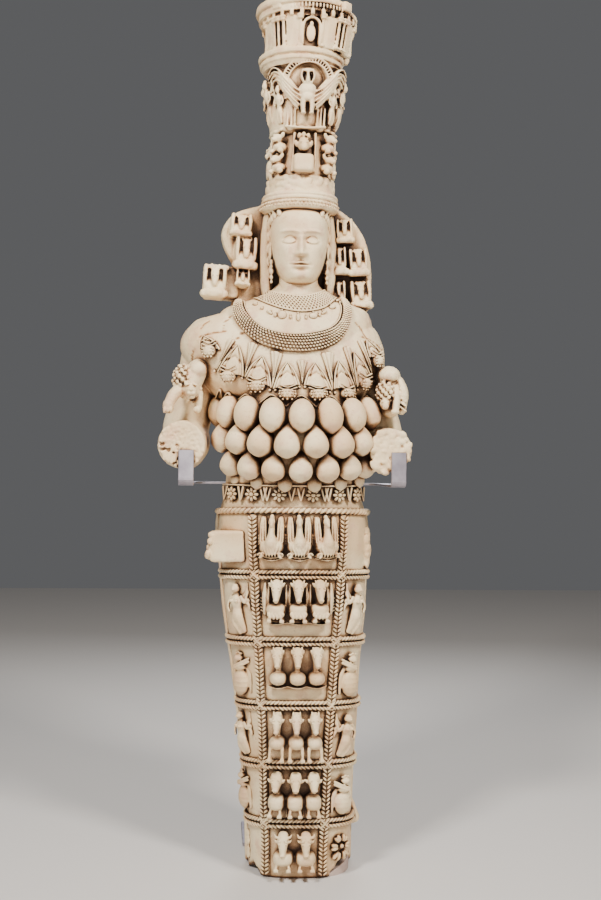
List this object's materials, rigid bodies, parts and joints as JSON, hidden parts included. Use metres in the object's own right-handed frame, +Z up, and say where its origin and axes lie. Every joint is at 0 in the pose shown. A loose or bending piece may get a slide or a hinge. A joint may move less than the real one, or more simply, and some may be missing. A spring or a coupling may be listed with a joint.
{
  "type": "marble artemis statue with a steel cradle",
  "caption": "Standing marble goddess in a tapering sheath of animal reliefs, with a tall tiered crown and broken forearms held by a bent steel strap on a post.",
  "frame": {"origin": "middle of the figure's flat underside, on its upright axis", "axes": "+Z up, the figure faces -Y, +X to the viewer's right"},
  "size_m": [0.8377, 0.7429, 2.92],
  "materials": {
    "marble": "weathered warm marble with dark deposits in the recesses",
    "mortar": "smooth matt filling",
    "steel": "brushed, dull"
  },
  "bodies": {
    "root": {"statue": "marble", "base_infill": "mortar", "cradle_foot_plate": "steel", "cradle_post": "steel", "cradle_yoke": "steel"}
  },
  "joints": []
}
